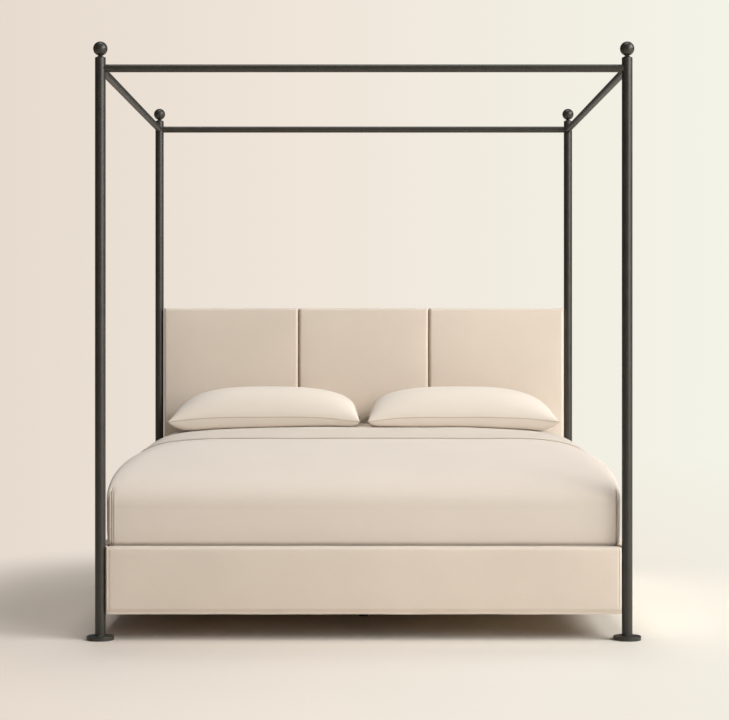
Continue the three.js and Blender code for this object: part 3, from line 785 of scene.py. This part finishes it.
def bed_height(x, y):
    """The made bed's height: full in the middle, rounding down to the foot and both sides."""
    rise = COVER["crown"] - COVER["shoulder"]
    to_foot = clamped((CREST_Y - y) / (CREST_Y - COVER["foot"]))
    to_head = clamped((y - HEAD_Y) / (COVER["head"] - HEAD_Y))
    lengthwise = 1 - (1 - to_foot**2) ** FOOT_ROUNDNESS * (1 - HEAD_DROP * to_head**2)
    share = min(1, abs(x) / COVER["half"])
    climb = smooth_step((y - FOLD_Y) / DOME_LENGTH)
    across = 1 - (1 - share**6) ** (SIDE_ROUNDNESS - HEAD_SQUARENESS * climb)
    dome = DOME * climb * (1 - share**2)
    return COVER["shoulder"] + rise * (1 - min(1.0, (lengthwise**4 + across**4) ** 0.25)) + dome


def rounded_plan(x, y):
    """Moves a point of the square plan so that the plan's two foot corners are rounded."""
    sx = 1 if x > 0 else -1
    dx, dy = abs(x) - (COVER["half"] - PLAN_CORNER), (COVER["foot"] + PLAN_CORNER) - y
    if dx <= 0 or dy <= 0:
        return x, y
    pull = max(dx, dy) / math.hypot(dx, dy)
    return sx * (COVER["half"] - PLAN_CORNER + dx * pull), COVER["foot"] + PLAN_CORNER - dy * pull


def bed_top(x, y):
    """The point of the made bed's top that stands over a point of the square plan."""
    px, py = rounded_plan(x, y)
    inside = min(1.0, (COVER["half"] - abs(x)) / WRINKLE_FADE, (y - COVER["foot"]) / WRINKLE_FADE)
    soft = wrinkle((px, py, 0), 0.42, 0.004, 2.0) + wrinkle((px, py, 0), 0.15, 0.0012, 6.0)
    return Vector((px, py, bed_height(x, y) + soft * max(0.0, inside)))


def drawn_in(z):
    """How far a drop is in from the plan's edge at height z: nothing high up, and most at the tuck."""
    tuck = smooth_step((RAIL_TOP + TUCK_HEIGHT - z) / TUCK_HEIGHT)
    under = clamped((RAIL_TOP + TAPER_HEIGHT - z) / TAPER_HEIGHT)
    return (COVER["half"] - TUCKED_HALF) * (0.4 * under**2 + 0.6 * tuck)


PANEL_EDGE_X = 0.9435  # where the front panel ends at a foot corner
STEP_WIDTH = 0.0014
SLIT_X = 0.953  # the middle of the dark gap between the corner's two folded layers
SLIT_HALF = 0.0022
FOLD_TOP = 0.598


def folded(p):
    """A foot corner's fold: the front panel's edge steps back, then a narrow slit parts the two layers."""
    if p.y > COVER["foot"] + PLAN_CORNER or p.z > FOLD_TOP:
        return p
    x = abs(p.x)
    fade = clamped((FOLD_TOP - p.z) / 0.05)
    step = clamped((x - PANEL_EDGE_X) / STEP_WIDTH)
    slit = max(0.0, 1 - abs(x - SLIT_X) / SLIT_HALF)
    return p + Vector((0, fade * (0.0016 * step + 0.0075 * slit), 0))


def cover_columns():
    """Positions across the plan, dense at the edges and at the corner fold."""
    near = [COVER["half"] * math.sin(t) for t in np.linspace(math.radians(75), math.pi / 2, 14)]
    fold = [PANEL_EDGE_X, PANEL_EDGE_X + STEP_WIDTH]
    fold += [SLIT_X + SLIT_HALF * k for k in (-1.3, -1, -0.4, 0, 0.4, 1, 1.3)]
    apart = [v for v in near if min(abs(v - f) for f in fold) > 0.0012]
    outer = sorted(set(round(float(v), 5) for v in apart + fold))
    inner = [float(v) for v in spaced(-outer[0], outer[0], 0.03)]
    return [-v for v in reversed(outer)] + inner[1:-1] + outer


def cover_rows():
    near = [COVER["foot"] + 0.12 * (1 - math.cos(t)) for t in np.linspace(0, math.pi / 2, 14)]
    return near[:-1] + [float(v) for v in spaced(near[-1], COVER["head"], 0.03)]


def wall_levels(top):
    """Heights down a drop from its top edge to the hem."""
    high = [top - (top - RAIL_TOP - 0.02) * share / DROP_SHARES[-1] for share in DROP_SHARES]
    return high + [RAIL_TOP + height for height in RAIL_ROWS] + [COVER["hem"]]


def drop_point(edge_point, outward, z):
    """A point on the drop under a point of the top's edge."""
    p = edge_point.copy()
    top, p.z = p.z, z
    full = clamped((top - z) / 0.06) * clamped((z - RAIL_TOP) / 0.03)
    along = p.y if abs(outward.x) > abs(outward.y) else p.x
    soft = wrinkle((along, z * 0.6, 0), 0.3, 0.0022, 3.0) * full
    p += outward * (0.5 * (soft - 0.001) - drawn_in(z))
    return p


def outward_at(edge, k):
    """The level direction straight out from an edge's point, from the points before and after it."""
    before, after = edge[max(0, k - 1)], edge[min(len(edge) - 1, k + 1)]
    tangent = Vector((after.x - before.x, after.y - before.y, 0)).normalized()
    return Vector((tangent.y, -tangent.x, 0))


def cover_skin(columns, rows):
    """The outer skin: the top's grid and the drop round its sides and foot. Returns points and faces."""
    verts = [bed_top(x, y) for y in rows for x in columns]
    width, depth = len(columns), len(rows)
    faces = grid_faces(width, depth)
    path = ([j * width for j in range(depth - 1, -1, -1)] + list(range(1, width))
            + [j * width + width - 1 for j in range(1, depth)])
    edge = [verts[i] for i in path]
    drops = [[drop_point(p, outward_at(edge, k), z) for z in wall_levels(p.z)] for k, p in enumerate(edge)]
    previous = path
    for ring in zip(*drops):
        current = list(range(len(verts), len(verts) + len(ring)))
        verts += ring
        faces += [[previous[k], current[k], current[k + 1], previous[k + 1]] for k in range(len(ring) - 1)]
        previous = current
    return verts, faces


LINING = {"half": 0.9562, "foot": -1.0192, "top": 0.5705}  # close round the mattress
LINING_DEPTH = 0.008  # the least, under the skin's top


def inner_point(p):
    """Where the coverlet's lining lies under a point of its skin: on the mattress, close at its sides."""
    z = min(LINING["top"], p.z - LINING_DEPTH) if p.z > COVER["shoulder"] else p.z
    return Vector((max(-LINING["half"], min(LINING["half"], p.x)), max(LINING["foot"], p.y), z))


def make_coverlet():
    verts, faces = cover_skin(cover_columns(), cover_rows())
    verts = [folded(v) for v in verts]
    count = len(verts)
    lining = [inner_point(v) for v in verts]
    edges = dict.fromkeys((a, b) for face in faces for a, b in zip(face, face[1:] + face[:1]))
    rim = [[a, b, count + b, count + a] for a, b in edges if (b, a) not in edges]
    inside = [[count + i for i in face[::-1]] for face in faces]
    coverlet = piece("coverlet_cloth", (verts + lining, faces + inside + rim), COVERLET,
                     body="coverlet", stands_for=["coverlet"])


# ---- turned-down sheet
SHEET_LIFT = 0.0035
SHEET_THICK = 0.0045
SHEET_SINK = 0.0015  # how far its weight beds it down
SHEET_TOP = SHEET_LIFT + SHEET_THICK - SHEET_SINK  # of the sheet's upper face, above the coverlet
FOLD_ROLL = ((0.0, 0.5), (0.0006, 0.22), (0.002, 0.04), (0.004, 0.0))  # (behind the fold, share to rise)


def sheet_profile(y, lift):
    """The section of the turned-down sheet at y, from hem to hem, lifted off the coverlet."""
    half = COVER["half"]
    top_edge = bed_top(half, y).z
    levels = wall_levels(top_edge)
    points = [drop_point(Vector((-half, y, top_edge)), Vector((-1, 0, 0)), z) for z in reversed(levels)]
    points += [bed_top(x, y) for x in cover_columns()]
    points += [drop_point(Vector((half, y, top_edge)), Vector((1, 0, 0)), z) for z in levels]
    lifted = []
    for i, p in enumerate(points):
        before, after = points[max(0, i - 1)], points[min(len(points) - 1, i + 1)]
        along = (after - before).normalized()
        lifted.append(p + Vector((-along.z, 0, along.x)) * lift)
    return lifted


def make_turndown():
    """The sheet folded back over the coverlet: its rolled front edge, then the flat band up to the head."""
    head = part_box("turned_down_sheet")[1].y
    rows = [(FOLD_Y + 0.0005 + dy, SHEET_LIFT + SHEET_THICK * (1 - drop)) for dy, drop in FOLD_ROLL]
    rows += [(float(y), SHEET_LIFT + SHEET_THICK) for y in spaced(FOLD_Y + 0.02, head, 0.03)]
    upper = [sheet_profile(y, lift - SHEET_SINK) for y, lift in rows]
    lower = [sheet_profile(y, 0.4 * (2 * SHEET_LIFT + SHEET_THICK - lift) - 0.0005) for y, lift in rows]
    shape = slab(sum(upper, []), sum(lower, []), len(upper[0]), len(upper))
    # The band's darker colour is partly painted shade of the pillows.
    band = piece("folded_sheet", shape, SHEET_WITH_PAINTED_SHADE, body="coverlet",
                 stands_for=["turned_down_sheet"])


# ---- mattress
MATTRESS_CORNER = 0.075
FACE_INSETS = (0.55, 0.35, 0.2, 0.1, 0.05)  # rings over the top and bottom faces
SIDE_PROFILE = (  # (inset, depth) from a face round its taped edge to the middle of the side
    (0.022, 0.0035), (0.012, 0.008), (0.005, 0.016), (0.0035, 0.024), (0.003, 0.036), (0.001, 0.09),
    (0.0, 0.172),
)
FACE_CROWN = 0.004
TAPE_RADIUS, TAPE_DEPTH = 0.0042, 0.022
HANDLE_HALF = 0.09


def mattress_ring(half, centre, inset, z):
    """The mattress's outline at height z, drawn in by inset."""
    around = ((1, 1), (-1, 1), (-1, -1), (1, -1))
    corners = [(sx * half.x, sy * half.y, MATTRESS_CORNER) for sx, sy in around]
    plan = densified(fillet(corners, closed=True, steps=8), 0.035)
    scale = Vector(((half.x - inset) / half.x, (half.y - inset) / half.y))
    return [Vector((centre.x + p.x * scale.x, centre.y + p.y * scale.y, z)) for p in plan]


def make_mattress():
    """A quilted mattress with taped edges and carrying handles."""
    low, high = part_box("mattress")
    centre, half = middle("mattress"), (high - low) / 2
    levels = [(inset, FACE_CROWN * (1 - inset)) for inset in FACE_INSETS] + list(SIDE_PROFILE)
    sections = [mattress_ring(half, centre, inset, low.z + depth) for inset, depth in levels]
    sections += [mattress_ring(half, centre, inset, high.z - depth) for inset, depth in levels[-2::-1]]
    body = piece("mattress_quilted", loft(sections), TICKING, "mattress", ["mattress"])
    for place, z in (("lower", low.z + TAPE_DEPTH), ("upper", high.z - TAPE_DEPTH)):
        tape = cord_along(mattress_ring(half, centre, TAPE_RADIUS, z), TAPE_RADIUS, 10, closed=True)
        piece(f"mattress_tape_{place}", tape, TAPE, body="mattress")
    for side, sx in SIDES:
        for end, y in (("front", -0.5), ("rear", 0.5)):
            make_handle(f"mattress_handle_{end}_{side}", centre + Vector((sx * (half.x - 0.001), y, 0)), sx)


def make_handle(name, at, outward):
    """A flat webbing handle that bows out a little from the mattress's side."""
    arc = []
    for t in np.linspace(0, math.pi, 21):
        bow = math.sin(t)
        arc.append(at + Vector((0.004 * outward * bow, HANDLE_HALF * (2 * t / math.pi - 1), 0.02 * bow)))
    piece(name, cord_along(arc, 0.0022, 8, flatten=5.0), TAPE, body="mattress")


# ---- pillows
PILLOW_GRID = (56, 34)
PILLOW_SEAM_RISE = 0.062  # of the seam's middle, above the pillow's underside
PILLOW_BACK_Y = 0.92  # behind this line a pillow's underside runs on level
SETTLE_DEPTH = 0.026
OUTER_TAPER, INNER_TAPER = 0.40, 0.28  # the end beside the post is slimmer than the end at the bed's middle
CORNER_ROOM = 0.010  # the corners stand this far out, and the subdivision draws them in again


def rest_height(x, y):
    """The height of the sheet that a pillow rests on."""
    return bed_top(x, min(y, PILLOW_BACK_Y)).z + SHEET_TOP + 0.0003


def pillow_point(u, v, layer, low, high, flip):
    """A point of a filled pillow: u runs from its outer to its inner end, v from its front to its back."""
    centre, half = (low + high) / 2, (high - low) / 2
    tip = 1 + (0.02 if u < 0 else 0.006) * (u * v) ** 12
    x = centre.x - flip * half.x * u * tip * (1 - 0.03 * (1 - v * v))
    y = centre.y + half.y * v * tip * (1 - 0.05 * (1 - u * u))
    seam = low.z + PILLOW_SEAM_RISE - 0.017 * abs(u) ** 2.5 - 0.004 * abs(v) ** 3
    if layer:
        taper = OUTER_TAPER if u < 0 else INNER_TAPER
        full = max(0.0, 1 - abs(u) ** 3) ** taper * max(0.0, 1 - abs(v) ** 2.6) ** 0.5
        return Vector((x, y, seam + (high.z - low.z - PILLOW_SEAM_RISE) * full))
    full = max(0.0, 1 - abs(u) ** 8) ** 0.45 * max(0.0, 1 - abs(v) ** 26) ** 0.5
    return Vector((x, y, seam - (seam - rest_height(x, y)) * full))


def pillow_mesh(low, high, flip):
    """The case as two sheets sewn round their edge. Returns vertices, faces and the seam's points."""
    columns, rows = PILLOW_GRID
    verts, index = [], {}
    for layer in (0, 1):
        for j in range(rows + 1):
            for i in range(columns + 1):
                on_edge = i in (0, columns) or j in (0, rows)
                if layer and on_edge:
                    index[(1, i, j)] = index[(0, i, j)]
                    continue
                u = math.sin(math.pi / 2 * (2 * i / columns - 1))
                v = math.sin(math.pi / 2 * (2 * j / rows - 1))
                index[(layer, i, j)] = len(verts)
                verts.append(pillow_point(u, v, layer, low, high, flip))
    corners = ((0, 0), (1, 0), (1, 1), (0, 1))
    faces = [[index[(layer, i + di, j + dj)] for di, dj in corners]
             for layer in (0, 1) for j in range(rows) for i in range(columns)]
    edge = [(i, 0) for i in range(columns)] + [(columns, j) for j in range(rows)]
    edge += [(i, rows) for i in range(columns, 0, -1)] + [(0, j) for j in range(rows, 0, -1)]
    return verts, faces, [index[(0, i, j)] for i, j in edge]


def inflate(obj, pressure, frames, cap, shrink=0.0):
    """Fills a closed case by cloth simulation, and applies the result with each point moved at most cap."""
    modifier = obj.modifiers.new("cloth", "CLOTH")
    settings = modifier.settings
    settings.quality = 6
    settings.mass = 0.25
    settings.use_pressure = True
    settings.uniform_pressure_force = pressure
    settings.tension_stiffness = settings.compression_stiffness = 20
    settings.shear_stiffness = 6
    settings.bending_stiffness = 0.4
    settings.shrink_min = shrink
    settings.effector_weights.gravity = 0
    modifier.collision_settings.use_collision = False
    modifier.point_cache.frame_start, modifier.point_cache.frame_end = 1, frames
    for number in range(1, frames + 1):
        SCENE.frame_set(number)
    blown = obj.evaluated_get(bpy.context.evaluated_depsgraph_get())
    moves = [v.co - w.co for v, w in zip(blown.data.vertices, obj.data.vertices)]
    obj.modifiers.remove(modifier)
    SCENE.frame_set(1)
    for vertex, move in zip(obj.data.vertices, moves):
        vertex.co += move * min(1.0, cap / max(cap, move.length))


def rest_pillow(obj, low, high):
    """Keeps a filled pillow in its own room, and lets what is close to the bed settle on it."""
    for vertex in obj.data.vertices:
        x, y, z = vertex.co
        bed = rest_height(x, y)
        above = max(0.0, min(high.z + 0.002, z) - bed)
        vertex.co = (
            max(low.x - CORNER_ROOM, min(high.x + CORNER_ROOM, x)),
            max(low.y - CORNER_ROOM, min(high.y, y)),
            bed + above * smooth_step(above / SETTLE_DEPTH),
        )


def make_pillow(side, flip):
    node = f"pillow_{side}"
    low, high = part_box(node)
    verts, faces, seam = pillow_mesh(low, high, flip)
    obj = new_object(f"pillow_case_{side}", verts, faces, PILLOWCASE)
    inflate(obj, pressure=3.0, frames=20, cap=0.008, shrink=0.0015)
    rest_pillow(obj, low, high)
    subdivided(obj, 2)
    bpy.context.view_layer.update()
    smooth = [v.co for v in obj.evaluated_get(bpy.context.evaluated_depsgraph_get()).data.vertices]
    path = [smooth[i] for i in seam]
    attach(obj, node)
    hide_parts(node)
    cord = cord_along(path, 0.0022, 8, closed=True)
    # The cord's darker colour is partly painted crease shade.
    subdivided(piece(f"pillow_seam_{side}", cord, SHADED_SEAM_CORD, body=node), 1)


# ---- stage
# The backdrop's colours from left to right: painted light and shade, darkest on the left and brightest on
# the right.
BACKDROP_LEFT = linear(231, 219, 207)
BACKDROP_MIDDLE = linear(240, 230, 218)
BACKDROP_RIGHT = linear(243, 243, 231)
# The floor's colour on its right: darker than the backdrop's, partly painted shade that tones down the
# lamps' light on the paper there.
FLOOR_RIGHT = linear(242, 237, 225)
FLOOR_RINGS = (1.0, 2.0, 3.0, 5.0, 9.0, 20.0, 45.0, 90.0)
# Past FLOOR_NEAR the paper gives way, for camera rays, to a painted glow of the backdrop's colours.
FLOOR_NEAR, FLOOR_FAR = 1.35, 2.7  # the paper turns into plain backdrop between these distances
FLOOR_EYE = (0, 8, 2.5)  # from the place that the floor's colours fan out from


def backdrop_colour(tree, direction, right=BACKDROP_RIGHT):
    """The pale backdrop's colour by compass direction: darker and warmer to the left, brighter and cooler
    to the right, as painted light and shade across the backdrop.
    """
    side = tree.add("SeparateXYZ", Vector=tree.vector("NORMALIZE", direction)).outputs["X"]
    share = tree.add("MapRange", a=side, b=-0.2, c=0.2).outputs[0]
    return tree.ramp(share, (0.05, BACKDROP_LEFT), (0.45, BACKDROP_MIDDLE), (0.95, right))


def make_world():
    world = bpy.data.worlds.new("studio")
    SCENE.world = world
    tree = Tree(world)
    level = tree.vector("MULTIPLY", tree.add("TexCoord").outputs["Generated"], (1, 1, 0))
    seen = tree.add("Background", Color=backdrop_colour(tree, level))
    fill = tree.add("Background", Color=(0.95, 0.975, 1.0, 1), Strength=0.1)
    chosen = tree.add("MixShader", a=tree.add("LightPath").outputs["Is Camera Ray"], b=fill.outputs[0],
                      c=seen.outputs[0])
    tree.links.new(chosen.outputs[0], tree.add("OutputWorld").inputs["Surface"])


def floor_material():
    """Paper near the bed, which takes its shadows, fading out for camera rays into an emission of the
    backdrop's colours: painted light standing in for the lit floor. Its colour is darker on the right,
    partly painted shade against the lamps' light there.
    """
    material, tree, place = new_material("studio_floor")
    distance = tree.vector("LENGTH", place, output="Value")
    fade = tree.add("MapRange", {"interpolation_type": "SMOOTHSTEP"}, a=distance, b=FLOOR_NEAR, c=FLOOR_FAR)
    fan = tree.vector("ADD", place, FLOOR_EYE)
    far = tree.add("MapRange", a=distance, b=FLOOR_FAR, c=4 * FLOOR_FAR).outputs[0]
    near_colour, far_colour = backdrop_colour(tree, fan, FLOOR_RIGHT), backdrop_colour(tree, fan)
    colour = tree.add("MixRGB", Fac=far, Color1=near_colour, Color2=far_colour).outputs[0]
    albedo = tree.vector("MULTIPLY", colour, (0.92, 0.92, 0.92))
    paper = tree.add("BsdfPrincipled", Base_Color=albedo, Roughness=0.9, Specular_IOR_Level=0.1)
    # An emission of the floor's colours, seen by the camera only: painted light standing in for the lit
    # paper away from the bed.
    painted_glow = tree.add("Emission", Color=colour)
    seen = tree.value("MULTIPLY", fade.outputs[0], tree.add("LightPath").outputs["Is Camera Ray"])
    tree.finish(tree.add("MixShader", a=seen, b=paper.outputs[0], c=painted_glow.outputs[0]).outputs[0])
    return material


def make_floor():
    """A wide disc in rings, about the bed's middle."""
    steps = 96
    turns = [2 * math.pi * k / steps for k in range(steps)]
    verts = [Vector((0, 0, 0))]
    verts += [Vector((r * math.cos(turn), r * math.sin(turn), 0)) for r in FLOOR_RINGS for turn in turns]
    faces = [[0, 1 + k, 1 + (k + 1) % steps] for k in range(steps)]
    for ring in range(len(FLOOR_RINGS) - 1):
        low, high = 1 + ring * steps, 1 + (ring + 1) * steps
        faces += [[low + k, high + k, high + (k + 1) % steps, low + (k + 1) % steps] for k in range(steps)]
    new_object("studio_floor", verts, faces, floor_material())


LIGHT_DISTANCE = 14.0


def softbox(name, azimuth, elevation, irradiance, size, glossy=True):
    """A square light aimed at the bed; its azimuth turns from the foot end towards the bed's right."""
    turn, rise = math.radians(azimuth), math.radians(elevation)
    towards = Vector((math.sin(turn) * math.cos(rise), -math.cos(turn) * math.cos(rise), math.sin(rise)))
    data = bpy.data.lights.new(name, "AREA")
    data.shape, data.size = "SQUARE", size
    data.energy = irradiance * math.pi * LIGHT_DISTANCE**2
    light = bpy.data.objects.new(name, data)
    light.location = towards * LIGHT_DISTANCE + Vector((0, 0, 0.5))
    light.rotation_euler = towards.to_track_quat("Z", "Y").to_euler()
    light.visible_glossy = glossy
    SCENE.collection.objects.link(light)


def make_studio():
    SCENE.view_settings.view_transform = "Standard"
    make_world()
    make_floor()
    softbox("key", 42, 18, 1.35, 7.5)
    softbox("side", 70, 32, 2.2, 7.0)
    softbox("overhead", 0, 88, 0.8, 7.0)
    softbox("rim", 180, 50, 1.0, 6.0, glossy=False)


make_camera()
make_studio()
dress_nodes()
make_posts()
make_canopy()
make_rails()
make_headboard_pads()
make_dust_cloth()
make_headboard_border()
make_headboard_staples()
make_coverlet()
make_turndown()
make_mattress()
for pillow_side, pillow_flip in SIDES:
    make_pillow(pillow_side, pillow_flip)
